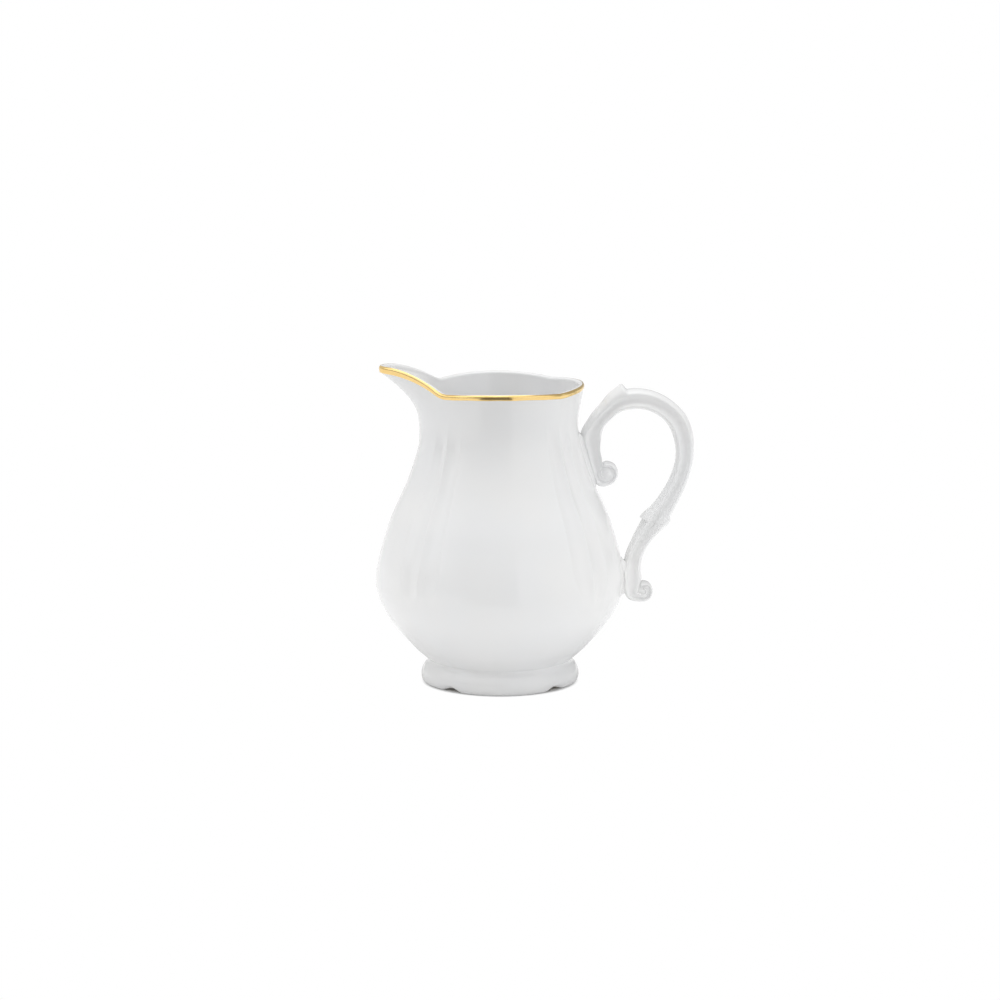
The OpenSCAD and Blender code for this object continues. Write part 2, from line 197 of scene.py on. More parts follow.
def edge(a, turn):
    """On the rounded edge: turn 0 is its outer side, 180 its inner side."""
    z = edge_z(a)
    n, t, r = outward(a, z), upward(a, z), LIP_T / 2
    return skin(a, z) - r * n + r * (cos(turn) * n + sin(turn) * t)


# ---------------------------------------------------------------- meshes
def grid_faces(index, wrap=False):
    """Quads over a table of vertex numbers, columns first. Wrap joins its last column to its
    first."""
    a = index
    b = np.roll(index, -1, axis=0)
    if not wrap:
        a, b = a[:-1], b[:-1]
    return np.stack([a[:, :-1], b[:, :-1], b[:, 1:], a[:, 1:]], -1).reshape(-1, 4)


def grid_normals(p, wrap_u, wrap_v=False):
    """Normals of a table of points, from the differences along its columns and rows."""
    def diff(q, axis, wrap):
        if wrap:
            return np.roll(q, -1, axis) - np.roll(q, 1, axis)
        return np.gradient(q, axis=axis)
    return unit(np.cross(diff(p, 0, wrap_u), diff(p, 1, wrap_v)))


def make(name, points, faces, normals=None, flat_faces=()):
    """A mesh object from points in millimetres. Faces take the given normals at their points,
    and flat_faces, which close a solid where another piece meets it, take their own."""
    all_faces = [tuple(f) for f in faces] + [tuple(f) for f in flat_faces]
    me = bpy.data.meshes.new(name)
    me.from_pydata((np.asarray(points) * MM).tolist(), [], all_faces)
    me.polygons.foreach_set("use_smooth", np.ones(len(me.polygons), bool))
    me.update()
    if normals is not None:
        loops = np.empty(len(me.loops), int)
        me.loops.foreach_get("vertex_index", loops)
        out = np.asarray(normals, float)[loops]
        sharp = np.zeros(len(me.edges), bool)
        for f in me.polygons[len(faces):]:
            f.use_smooth = False
            for k in f.loop_indices:
                out[k] = f.normal
                sharp[me.loops[k].edge_index] = True
        me.attributes.new("sharp_edge", "BOOLEAN", "EDGE").data.foreach_set("value", sharp)
        me.normals_split_custom_set(out.tolist())
    ob = bpy.data.objects.new(name, me)
    bpy.context.collection.objects.link(ob)
    return ob


# ---------------------------------------------------------------- body and pouring lip
FINE, COARSE = 28, 40
QUARTER = np.concatenate([np.arange(FINE) * 0.5 - 45, np.linspace(-31, 31, COARSE + 1),
                          45 - np.arange(FINE - 1, 0, -1) * 0.5])
COLUMNS = np.concatenate([90 * q + QUARTER for q in range(4)])
PER = len(QUARTER)
LIP_FIRST, LIP_LAST = 2 * PER, 3 * PER

wall_z = np.linspace(FOOT_H, SPOUT_Z, 109)
shares = np.concatenate([np.linspace(0, BAND, 33)[1:], np.linspace(BAND, 1, 5)[1:]])
turns = np.arange(15, 180, 15)

A = COLUMNS[:, None]
lip_z = SPOUT_Z + shares[None, :] * (edge_z(A) - SPOUT_Z)
FLOOR_TOP_Z = 15.6
inner_z = np.linspace(SPOUT_Z, FLOOR_TOP_Z, 90)

outside_low = skin(A, wall_z[None, :])
outside_lip = skin(A, lip_z)
cap = np.stack([edge(COLUMNS, t) for t in turns], 1)
inside_lip = inside(A, lip_z)[:, ::-1]
inside_low = inside(A, inner_z[None, :])

# The inside's bottom: a soft turn from the wall into the floor, then rings to the middle
heel, above = inside_low[:, -1], inside_low[:, -2]
down = unit(heel - above)
FLOOR_Z, FLAT_R, FLOOR_CROWN = FOOT_H + FLOOR_T, 15.0, 0.15
DOME_R, DOME_H = 17.4, 0.5
toe = np.stack([FLAT_R * cos(COLUMNS), FLAT_R * sin(COLUMNS), np.full(len(COLUMNS), FLOOR_Z)], -1)
radial = np.stack([cos(COLUMNS), sin(COLUMNS), 0 * COLUMNS], -1)
bend = []
for t in np.linspace(0, 1, 15)[1:]:
    u = 1 - t
    bend.append(u ** 3 * heel + 3 * u * u * t * (heel + 4.2 * down)
                + 3 * u * t * t * (toe + 5.5 * radial) + t ** 3 * toe)
floor = [np.stack([r * cos(COLUMNS), r * sin(COLUMNS),
                   np.full(len(COLUMNS), FLOOR_Z + FLOOR_CROWN * (1 - (r / FLAT_R) ** 2))], -1)
         for r in np.linspace(FLAT_R, 0.6, 12)[1:]]

shell = np.concatenate([outside_low, outside_lip, cap, inside_lip, inside_low,
                        np.stack(bend + floor, 1)], 1)
shell_n = grid_normals(shell, True)
ROOT = len(wall_z) - 1
RIM = ROOT + len(shares)
BACK = RIM + len(turns) + 1
ROOT_IN = BACK + len(shares)
N_COL, N_ROW = shell.shape[:2]
number = np.arange(N_COL * N_ROW).reshape(N_COL, N_ROW)


def seam(column, flip):
    """Faces across the wall's thickness at a column, from the lip's root up over its edge."""
    n = len(shares)
    faces = [(column[ROOT + k], column[ROOT + k + 1], column[ROOT_IN - k - 1], column[ROOT_IN - k])
             for k in range(n)]
    faces.append(tuple(column[ROOT + n:ROOT_IN - n + 1]))
    return [f[::-1] for f in faces] if flip else faces


def sill(numbers, flip):
    """Faces across the wall's thickness along the lip's root."""
    o, i = numbers[:, ROOT], numbers[:, ROOT_IN]
    faces = [(o[k], i[k], i[k + 1], o[k + 1]) for k in range(len(o) - 1)]
    return [f[::-1] for f in faces] if flip else faces


def make_body():
    lip_cols = np.arange(LIP_FIRST, LIP_LAST + 1)
    low = grid_faces(number[:, :ROOT + 1], True)
    inner = grid_faces(number[:, ROOT_IN:], True)
    order = np.concatenate([np.arange(LIP_LAST, N_COL), np.arange(0, LIP_FIRST + 1)])
    upper = grid_faces(number[order][:, ROOT:ROOT_IN + 1])
    points = [shell.reshape(-1, 3)]
    normals = [shell_n.reshape(-1, 3)]
    count = N_COL * N_ROW
    # middle of the floor
    points.append(np.array([[0, 0, FLOOR_Z + FLOOR_CROWN]]))
    normals.append(np.array([[0, 0, 1.0]]))
    middle = count
    count += 1
    fan = [(number[i, -1], number[(i + 1) % N_COL, -1], middle) for i in range(N_COL)]
    # underside: a shallow dome over the foot's recess, flat where the foot joins
    radii = np.array([0.5, 3, 6, 9, 12, 14, 16, DOME_R, 18.6, 20.5])
    dome = np.maximum(0, 1 - (radii / DOME_R) ** 2) * DOME_H
    under = np.stack([np.stack([r * cos(COLUMNS), r * sin(COLUMNS), FOOT_H + d + 0 * COLUMNS], -1)
                      for r, d in zip(radii, dome)], 1)
    under_no = count + np.arange(under[..., 0].size).reshape(under.shape[:2])
    points.append(under.reshape(-1, 3))
    normals.append(grid_normals(under, True).reshape(-1, 3))
    count += under[..., 0].size
    points.append(np.array([[0, 0, FOOT_H + DOME_H]]))
    normals.append(np.array([[0, 0, -1.0]]))
    base = count
    bottom = grid_faces(under_no, True)
    rim = np.stack([under_no[:, -1], np.roll(under_no[:, -1], -1), np.roll(number[:, 0], -1),
                    number[:, 0]], -1)
    hub = [(base, under_no[(i + 1) % N_COL, 0], under_no[i, 0]) for i in range(N_COL)]
    closing = (seam(number[LIP_FIRST], False) + seam(number[LIP_LAST], True)
               + sill(number[lip_cols], False) + [tuple(f) for f in rim])
    quads = np.concatenate([low, inner, upper, bottom])
    p, n = np.concatenate(points), np.concatenate(normals)
    faces = [tuple(f) for f in quads] + fan + hub
    return make_used("body", p, faces, n, closing)


def make_used(name, p, faces, n, closing):
    """Drops the points that no face uses, then makes the piece."""
    used = np.unique(np.concatenate([np.array([v for f in faces + closing for v in f])]))
    new = np.full(len(p), -1)
    new[used] = np.arange(len(used))
    return make(name, p[used], [tuple(new[list(f)]) for f in faces], n[used],
                [tuple(new[list(f)]) for f in closing])


def make_lip():
    cols = number[LIP_FIRST:LIP_LAST + 1]
    faces = [tuple(f) for f in grid_faces(cols[:, ROOT:ROOT_IN + 1])]
    closing = (seam(number[LIP_FIRST], True) + seam(number[LIP_LAST], False) + sill(cols, True))
    return make_used("pouring_lip", shell.reshape(-1, 3), faces, shell_n.reshape(-1, 3), closing)


body = make_body()
lip = make_lip()


# ---------------------------------------------------------------- gold line
def make_gilt():
    """A film of gold over the rim's outer side and its rounded edge, thinning at both borders."""
    a = COLUMNS
    wobble = 0.04 * np.sin(np.radians(7 * a + 20)) + 0.03 * np.sin(np.radians(17 * a + 75))
    # on the lip, which rises, the same height of line is a smaller share of the way up
    lift = 1 - ease((across(a) - 0.2) / 0.75)
    start = 1 - ((GILT_H + GILT_LIP * lift + wobble)
                 / (MOUTH_Z - SPOUT_Z + 2 * SPOUT_RISE * lift))
    rows, cover = [], []
    for t in np.linspace(0, 1, 9)[:-1]:
        z = SPOUT_Z + (start + (1 - start) * t) * (edge_z(a) - SPOUT_Z)
        rows.append((skin(a, z), outward(a, z)))
        cover.append(min(1, t / 0.2 + 0.05))
    last_turn = GILT_TURN + 3 * np.sin(np.radians(5 * a)) + 2 * np.sin(np.radians(13 * a + 40))
    for t in np.linspace(0, 1, 13):
        turn = (last_turn * t)[:, None]
        z = edge_z(a)
        n, up = outward(a, z), upward(a, z)
        side = cos(turn) * n + sin(turn) * up
        rows.append((skin(a, z) - LIP_T / 2 * n + LIP_T / 2 * side, side))
        cover.append(min(1, (1 - t) / 0.15 + 0.05))
    p = np.stack([r[0] for r in rows], 1)
    n = np.stack([r[1] for r in rows], 1)
    c = np.array(cover)[None, :, None]
    top = p + GILT_T * c * n
    under = p - GILT_UNDER * n
    loop = np.concatenate([top, under[:, ::-1]], 1)
    index = np.arange(loop[..., 0].size).reshape(loop.shape[:2])
    index = np.concatenate([index, index[:, :1]], 1)
    faces = [tuple(f) for f in grid_faces(index, True)]
    normals = np.concatenate([grid_normals(top, True), -grid_normals(under, True)[:, ::-1]], 1)
    return make("gilt_line", loop.reshape(-1, 3), faces, normals.reshape(-1, 3))


gilt = make_gilt()


# ---------------------------------------------------------------- foot
def foot_section(a):
    """One angle's section of the foot, as a closed run of (radius, height)."""
    draw = FOOT_LOBE * scallop(a)
    bulge, tread = WAIST_R + FOOT_FLARE - draw, TREAD_R - draw
    seat, recess = RING_R + RING_GAP, RING_R - RING_W - RING_GAP
    arch = FOOT_ARCH * hump(off_corner(a) / FLUTE_W)
    waist = wall_r(a, FOOT_H, 0)
    outer = [(waist + 0.25, FOOT_H + 0.5), (waist + 0.2, FOOT_H - 0.1),
             (waist + 0.45, 0.88 * FOOT_H), (bulge - 1.1, 0.78 * FOOT_H),
             (bulge - 0.55, 0.65 * FOOT_H), (bulge - 0.15, 0.5 * FOOT_H), (bulge, 0.34 * FOOT_H),
             (bulge - 0.12, 0.19 * FOOT_H + 0.4 * arch), (bulge - 0.5, 0.07 * FOOT_H + 0.9 * arch),
             (tread, arch)]
    line = through(outer, np.linspace(0, len(outer) - 1, 46))
    ring = [(seat + 0.12, arch), (seat, arch + 0.12), (seat, RING_H), (recess, RING_H),
            (recess, 0.6), (recess - 0.25, 0.25), (recess - 0.5, 0.45)]
    well = [(recess - 0.6, 0.7), (recess - 0.7, 2.2), (recess - 0.75, 0.5 * FOOT_H),
            (recess - 1.0, 0.7 * FOOT_H), (recess - 1.7, 0.88 * FOOT_H),
            (recess - 2.9, 0.99 * FOOT_H), (recess - 3.2, FOOT_H)]
    well = through(well, np.linspace(0, len(well) - 1, 25))
    return np.concatenate([line, ring, well, [(waist - 2.5, FOOT_H), (waist - 0.3, FOOT_H + 0.5)]])


def make_foot():
    secs = np.stack([foot_section(a) for a in COLUMNS])
    p = np.stack([secs[..., 0] * cos(COLUMNS)[:, None], secs[..., 0] * sin(COLUMNS)[:, None],
                  secs[..., 1]], -1)[:, ::-1]
    index = np.arange(p[..., 0].size).reshape(p.shape[:2])
    index = np.concatenate([index, index[:, :1]], 1)
    return make("foot_ring", p.reshape(-1, 3), [tuple(f) for f in grid_faces(index, True)])


def make_ring():
    """The unglazed ring: flat underneath, with softly worn corners."""
    outer, inner, soft = RING_R, RING_R - RING_W, 0.5
    sec = [(inner, RING_H), (inner, 1.0)]
    sec += [(inner + soft - soft * math.cos(t), soft - soft * math.sin(t))
            for t in np.linspace(0, math.pi / 2, 7)]
    sec += [(inner + soft + f * (RING_W - 2 * soft), 0) for f in (0.25, 0.5, 0.75)]
    sec += [(outer - soft + soft * math.sin(t), soft - soft * math.cos(t))
            for t in np.linspace(0, math.pi / 2, 7)]
    sec += [(outer, 1.0), (outer, RING_H)]
    a = np.arange(0, 360, 1.0)
    sec = np.array(sec)
    arch = FOOT_ARCH * hump(off_corner(a) / FLUTE_W)[:, None]
    z = sec[None, :, 1] + arch * (1 - sec[None, :, 1] / RING_H)
    p = np.stack([sec[None, :, 0] * cos(a)[:, None], sec[None, :, 0] * sin(a)[:, None], z], -1)
    index = np.arange(p[..., 0].size).reshape(p.shape[:2])
    index = np.concatenate([index, index[:, :1]], 1)
    return make("standing_ring", p.reshape(-1, 3), [tuple(f) for f in grid_faces(index, True)])


foot = make_foot()
ring = make_ring()

# ---------------------------------------------------------------- handle
HALF = [[0.9, 0.55], [0.58, 0.95], [0.12, 0.72], [-0.3, 0.72], [-0.68, 0.93], [-0.93, 0.52]]
HALF_ROOT = [[0.9, 0.55], [0.58, 0.93], [0.12, 0.82], [-0.3, 0.84], [-0.72, 0.95], [-1.05, 1.08]]


def closed_section(half):
    return np.array([[1, 0]] + half + [[-1, 0]] + [[u, -v] for u, v in half[::-1]], float)


SECTION, SECTION_ROOT = closed_section(HALF), closed_section(HALF_ROOT)
UPPER_EDGE = [4.6, 4.9, 4.2, 4, 3.9, 3.85, 3.5, 1.9]
LOWER_EDGE = [6, 4, 3.5, 3.3, 3.2, 3.15, 2.9, 1.6]
EYE_EDGE = [1.3, 0.6, 0.3, 0.2, 0.2, 0.2, 0.3, 0.5]


def volute(z, reach, outer):
    keys = []
    for k in range(8):
        t = k / 7
        turn = 190 + 310 * t
        r = (outer[k] + EYE_EDGE[k]) / 2
        keys.append([float(curve(PROFILE, z)) + SLIP_T + reach + r * cos(turn), z + r * sin(turn),
                     (outer[k] - EYE_EDGE[k]) / 2, 3.4 + 0.4 * t if k < 7 else 2.8])
    return keys


def hug(z, half, depth):
    return [float(curve(PROFILE, z)) + SLIP_T + half, z, half, depth]


BOW = [hug(72, 2.3, 3.4), hug(76, 2.55, 3.5), hug(80.5, 3.2, 3.6),
       [31.5, 85, 2.7, 3.6], [34.5, 88.2, 2.7, 3.6], [37.7, 91, 3.1, 3.7],
       [41.2, 92.2, 3.3, 3.8], [45.3, 92.4, 3.3, 3.8], [49.9, 91.3, 3.25, 3.7],
       [54.6, 88.4, 3.2, 3.6], [58.1, 84, 3.3, 3.5], [59.8, 78, 3.1, 3.4],
       [59.7, 71.9, 2.85, 3.4], [57.9, 65.5, 2.85, 3.5], [55, 59.7, 3.1, 3.6],
       [52.4, 55.6, 3.4, 3.8]]
KNUCKLE = [[51.3, 54, 3.6, 3.9], [50.3, 52.6, 3.6, 3.9], [49.3, 51.2, 3.5, 3.8]]
TAIL = [[47.3, 48.2, 3.1, 3.6], [45.1, 44.4, 2.8, 3.4], [43.5, 40.4, 2.8, 3.4],
        hug(36.4, 2.75, 3.4), hug(33, 2.75, 3.4)]
# Each eye's height, and how far it stands off the body
UPPER_EYE, LOWER_EYE = (68.3, 4.9), (29.3, 6.6)
KEYS = np.array(volute(*UPPER_EYE, UPPER_EDGE)[::-1] + BOW + KNUCKLE + TAIL
                + volute(*LOWER_EYE, LOWER_EDGE))
BOW_KEY = 8
KNUCKLE_KEY = BOW_KEY + len(BOW)
KNUCKLE_END = KNUCKLE_KEY + len(KNUCKLE) - 1
TAIL_END = KNUCKLE_END + len(TAIL)
FINAL_KEY = len(KEYS) - 1
STEPS, ROUND = 16, 112
KNUCKLE_TILT = 22


def line(t):
    return through(KEYS, np.asarray(t, float))


def strap_out(t):
    """The strap's outward direction, square to its run."""
    t = np.asarray(t, float)
    run = line(np.minimum(t + 1 / 3, FINAL_KEY)) - line(np.maximum(t - 1 / 3, 0))
    run = unit(run[..., :2])
    tilt = KNUCKLE_TILT * hump((t - KNUCKLE_KEY - 1) / 3)
    c, d = cos(tilt), sin(tilt)
    out_x, out_z = -run[..., 1], run[..., 0]
    return np.stack([out_x * c - out_z * d, 0 * out_x, out_x * d + out_z * c], -1)


def seated(p, gap=SLIP_T):
    """Keeps points off the body by the slip's thickness."""
    r = curve(PROFILE, np.clip(p[..., 2], FOOT_H, MOUTH_Z)) + gap
    face = np.sqrt(np.maximum(0, r * r - p[..., 1] ** 2))
    q = p.copy()
    q[..., 0] = np.maximum(p[..., 0], face)
    return q


def rooted(t):
    """1 where the strap lies against the body, 0 where it stands free."""
    upper = ease((t - BOW_KEY + 1.2) / 1.0) * (1 - ease((t - BOW_KEY - 1.6) / 1.6))
    lower = ease((t - TAIL_END + 1.9) / 1.2) * (1 - ease((t - TAIL_END - 0.3) / 1.0))
    return np.maximum(upper, lower)


def strap(t):
    """Rings of the strap at stations t: a table of points, stations by places round the section."""
    s = np.arange(ROUND) * len(SECTION) / ROUND
    share = rooted(t)[:, None, None]
    uv = (through(SECTION, s, closed=True) * (1 - share)
          + through(SECTION_ROOT, s, closed=True) * share)
    c, n = line(t), strap_out(t)
    centre = np.stack([c[:, 0], 0 * c[:, 0], c[:, 1]], -1)[:, None]
    p = centre + (c[:, 2][:, None] * uv[..., 0])[..., None] * n[:, None]
    p[..., 1] -= c[:, 3][:, None] * uv[..., 1]
    return seated(p + KNUCKLE_OUT * leaf_tips(t, uv[..., 0])[..., None] * unit(p - centre))


def leaf_tips(t, u):
    """Two leaf tips, one on each rib of the strap, which swell and stop at the knuckle. The
    inner one overhangs, the outer one runs out on the tail, and the hollow between stays open."""
    t = t[:, None]
    rise = ease((t - KNUCKLE_KEY + 2) / 3) ** 1.6
    outer = rise * np.where(t > KNUCKLE_KEY + 0.9, hump((t - KNUCKLE_KEY - 0.9) / 2.6), 1)
    inner = rise * np.where(t > KNUCKLE_KEY + 1.1, hump((t - KNUCKLE_KEY - 1.1) / 0.45), 1)
    off_rib = ease((np.abs(u + 0.08) - 0.15) / 0.5)
    return np.where(u > -0.08, outer, inner) * off_rib


def sweep(name, p, n, cut):
    """A closed tube from the rows of a larger table, with its ends filled."""
    p, n = p[cut], n[cut]
    rows, cols = p.shape[:2]
    index = np.arange(rows * cols).reshape(rows, cols)
    index = np.concatenate([index, index[:, :1]], 1)
    faces = [tuple(f[::-1]) for f in grid_faces(index)]
    ends = [tuple(index[0, :-1]), tuple(index[-1, :-1][::-1])]
    return make(name, p.reshape(-1, 3), faces, n.reshape(-1, 3), ends)


all_t = np.linspace(0, FINAL_KEY, FINAL_KEY * STEPS + 1)
tube = strap(all_t)
tube_n = -grid_normals(tube, False, True)


def stretch(first, last):
    return slice(first * STEPS, last * STEPS + 1)


bow = sweep("handle_bow", tube, tube_n, stretch(BOW_KEY, KNUCKLE_KEY))
knuckle = sweep("knuckle_leaf", tube, tube_n, stretch(KNUCKLE_KEY, KNUCKLE_END))
tail = sweep("handle_tail", tube, tube_n, stretch(KNUCKLE_END, TAIL_END))
upper = sweep("upper_scroll", tube, tube_n, stretch(0, BOW_KEY))
lower = sweep("lower_scroll", tube, tube_n, stretch(TAIL_END, FINAL_KEY))


def fill_eye(scroll, z, reach, size):
    """A button in the eye of a scroll and a web that closes its turns, as one more shell."""
    half = [(0.15, 3.55), (0.5, 3.51), (1.0, 3.34), (1.4, 3.12), (1.8, 3.0), (2.3, 2.95),
            (2.8, 2.75), (3.1, 2.3), (3.2, 1.3), (3.2, 0.4)]
    half = through(half, np.linspace(0, len(half) - 1, 40))
    run = np.concatenate([half, half[::-1] * [1, -1]])
    a = np.arange(0, 360, 5.0)
    x = float(curve(PROFILE, z)) + SLIP_T + reach
    r = run[:, 0] * size
    points = np.stack([x + r[None] * cos(a)[:, None],
                       np.broadcast_to(run[:, 1] * (0.5 + 0.5 * size), (len(a), len(run))),
                       z + r[None] * sin(a)[:, None]], -1)
    index = np.arange(points[..., 0].size).reshape(points.shape[:2])
    faces = [tuple(f) for f in grid_faces(index, True)]
    ends = [tuple(index[:, 0][::-1]), tuple(index[:, -1])]
    eye = make("eye", points.reshape(-1, 3), faces, grid_normals(points, True).reshape(-1, 3), ends)
    bpy.context.view_layer.update()
    with bpy.context.temp_override(active_object=scroll, selected_editable_objects=[scroll, eye]):
        bpy.ops.object.join()


fill_eye(upper, *UPPER_EYE, 1.0)
fill_eye(lower, *LOWER_EYE, 0.8)


THUMB_REACH = 2.2  # in points of the strap's section, to each side


def make_thumb():
    """A leaf on the strap's outer side, flat and straight up to its point, then a small step."""
    first, peak, final = BOW_KEY + 2.4, BOW_KEY + 5.75, BOW_KEY + 6.15
    t = np.concatenate([np.linspace(first, peak, 46), np.linspace(peak, final, 15)[1:]])
    x = (t - first) / (peak - first)
    height = np.where(t <= peak, LEAF_H * (0.12 + 0.33 * x + 0.55 * x ** 6),
                      LEAF_H * hump((t - peak) / 0.4))
    height *= ease((t - first) / 0.9 + 0.05)
    s = np.linspace(-THUMB_REACH, THUMB_REACH, 25)
    c, n = line(t), strap_out(t)
    uv = through(SECTION, np.mod(s, len(SECTION)), closed=True)
    off = np.abs(s) / THUMB_REACH
    taper = 0.75 * (1 - off ** 3) + 0.25 * (1 - off)
    base = (np.stack([c[:, 0], 0 * c[:, 0], c[:, 1]], -1)[:, None]
            + (c[:, 2][:, None] * uv[None, :, 0])[..., None] * n[:, None])
    base[..., 1] -= c[:, 3][:, None] * uv[None, :, 1]
    base = seated(base)
    top = base + (height[:, None] * taper[None, :])[..., None] * n[:, None]
    under = base - 0.15 * n[:, None]
    loop = np.concatenate([top, under[:, ::-1]], 1)
    normals = np.concatenate([-grid_normals(top, False), grid_normals(under, False)[:, ::-1]], 1)
    return sweep("thumb_leaf", loop, normals, slice(None))


thumb = make_thumb()


def make_slip(name, low_z, high_z, depth, reach, height):
    """Slip pressed out round the handle's root: a concave bead that runs out on the body."""
    z = np.linspace(low_z, high_z, 60)
    s = np.linspace(-1, 1, 49)
    width = depth + reach
    ends = np.clip(np.minimum(z - low_z, high_z - z) / reach, 0, 1)
    r = curve(PROFILE, z)
    y = s[None, :] * (width * np.sqrt(1 - (1 - ends) ** 2) + 0.02)[:, None]
    a = np.degrees(np.arcsin(y / r[:, None]))
    zz = np.broadcast_to(z[:, None], y.shape)
    base, n = skin(a, zz), outward(a, zz)
    margin = np.clip((width - np.abs(y)) / reach, 0, 1)
    rise = height * margin ** 2.4 * ease(np.minimum(z - low_z, high_z - z) / 4)[:, None]
    top = base + (rise + 0.01)[..., None] * n
    under = base - 0.2 * n
    loop = np.concatenate([top, under[:, ::-1]], 1)
    normals = np.concatenate([grid_normals(top, False), -grid_normals(under, False)[:, ::-1]], 1)
    rows, cols = loop.shape[:2]
    index = np.arange(rows * cols).reshape(rows, cols)
    index = np.concatenate([index, index[:, :1]], 1)
    faces = [tuple(f) for f in grid_faces(index)]
    ends = [tuple(index[0, :-1][::-1]), tuple(index[-1, :-1])]
    return make(name, loop.reshape(-1, 3), faces, normals.reshape(-1, 3), ends)


# Half the root's depth, how far the bead runs out past it, and its height at the root
BEAD = (2.6, 1.8, 1.7)
upper_slip = make_slip("upper_slip_joint", 63.0, 82.6, *BEAD)
lower_slip = make_slip("lower_slip_joint", 27.2, 41.2, *BEAD)


# ---------------------------------------------------------------- materials
def material(name):
    m = bpy.data.materials.new(name)
    m.use_nodes = True
    nt = m.node_tree
    nt.nodes.clear()
    out = nt.nodes.new("ShaderNodeOutputMaterial")
    bsdf = nt.nodes.new("ShaderNodeBsdfPrincipled")
    nt.links.new(bsdf.outputs[0], out.inputs[0])
    coords = nt.nodes.new("ShaderNodeTexCoord")
    return m, nt, bsdf, coords.outputs["Object"]


def noise(nt, vector, scale, detail=2.0, rough=0.5, stretch=None):
    if stretch is not None:
        mp = nt.nodes.new("ShaderNodeMapping")
        mp.inputs["Scale"].default_value = stretch
        nt.links.new(vector, mp.inputs["Vector"])
        vector = mp.outputs[0]
    n = nt.nodes.new("ShaderNodeTexNoise")
    n.inputs["Scale"].default_value = scale
    n.inputs["Detail"].default_value = detail
    n.inputs["Roughness"].default_value = rough
    nt.links.new(vector, n.inputs["Vector"])
    return n.outputs["Fac"]


def remap(nt, value, lo, hi, from_lo=0.3, from_hi=0.7):
    r = nt.nodes.new("ShaderNodeMapRange")
    r.inputs["From Min"].default_value = from_lo
    r.inputs["From Max"].default_value = from_hi
    r.inputs["To Min"].default_value = lo
    r.inputs["To Max"].default_value = hi
    nt.links.new(value, r.inputs["Value"])
    return r.outputs["Result"]


def mix(nt, fac, a, b):
    m = nt.nodes.new("ShaderNodeMix")
    m.data_type = "RGBA"
    nt.links.new(fac, m.inputs["Factor"])
    for socket, value in ((m.inputs[6], a), (m.inputs[7], b)):
        if isinstance(value, tuple):
            socket.default_value = (*value, 1)
        else:
            nt.links.new(value, socket)
    return m.outputs[2]


def bump(nt, height, strength, distance, normal=None):
    b = nt.nodes.new("ShaderNodeBump")
    b.inputs["Strength"].default_value = strength
    b.inputs["Distance"].default_value = distance
    nt.links.new(height, b.inputs["Height"])
    if normal is not None:
        nt.links.new(normal, b.inputs["Normal"])
    return b.outputs[0]


def porcelain(name, tone):
    m, nt, bsdf, co = material(name)
    cloud = noise(nt, co, 38, 3)
    base = mix(nt, remap(nt, cloud, 0, 1, 0.35, 0.65), tone,
               tuple(c * k for c, k in zip(tone, (0.985, 0.99, 1.0))))
    speck = nt.nodes.new("ShaderNodeTexVoronoi")
    speck.inputs["Scale"].default_value = 120
    nt.links.new(co, speck.inputs["Vector"])
    pin = remap(nt, speck.outputs["Distance"], 0.35, 0, 0.0, 0.035)
    base = mix(nt, pin, base, tuple(c * 0.8 for c in tone))
    nt.links.new(base, bsdf.inputs["Base Color"])
    bsdf.inputs["IOR"].default_value = 1.5
    nt.links.new(remap(nt, noise(nt, co, 60, 3), 0.06, 0.11), bsdf.inputs["Roughness"])
    n = bump(nt, noise(nt, co, 110, 2), 0.05, 0.0006)
    n = bump(nt, noise(nt, co, 620, 2), 0.03, 0.0001, n)
    nt.links.new(n, bsdf.inputs["Normal"])
    return m


def biscuit():
    m, nt, bsdf, co = material("biscuit")
    base = mix(nt, remap(nt, noise(nt, co, 260, 4), 0, 1), (0.74, 0.70, 0.63), (0.62, 0.58, 0.51))
    nt.links.new(base, bsdf.inputs["Base Color"])
    nt.links.new(remap(nt, noise(nt, co, 500, 3), 0.7, 0.9), bsdf.inputs["Roughness"])
    nt.links.new(bump(nt, noise(nt, co, 2600, 4), 0.35, 0.0001), bsdf.inputs["Normal"])
    return m


def gilding():
    m, nt, bsdf, co = material("gilding")
    fine = noise(nt, co, 900, 4)
    base = mix(nt, remap(nt, noise(nt, co, 150, 3), 0, 1), (1.0, 0.75, 0.34), (0.93, 0.64, 0.25))
    nt.links.new(base, bsdf.inputs["Base Color"])
    bsdf.inputs["Metallic"].default_value = 1.0
    nt.links.new(remap(nt, fine, 0.10, 0.2), bsdf.inputs["Roughness"])
    n = bump(nt, noise(nt, co, 300, 3, 0.5, (1, 1, 2.5)), 0.12, 0.0003)
    nt.links.new(bump(nt, fine, 0.08, 0.0001, n), bsdf.inputs["Normal"])
    return m


GLAZE = porcelain("porcelain", (0.92, 0.92, 0.916))
SLIP_GLAZE = porcelain("slip", (0.915, 0.915, 0.91))
BISCUIT = biscuit()
GOLD = gilding()

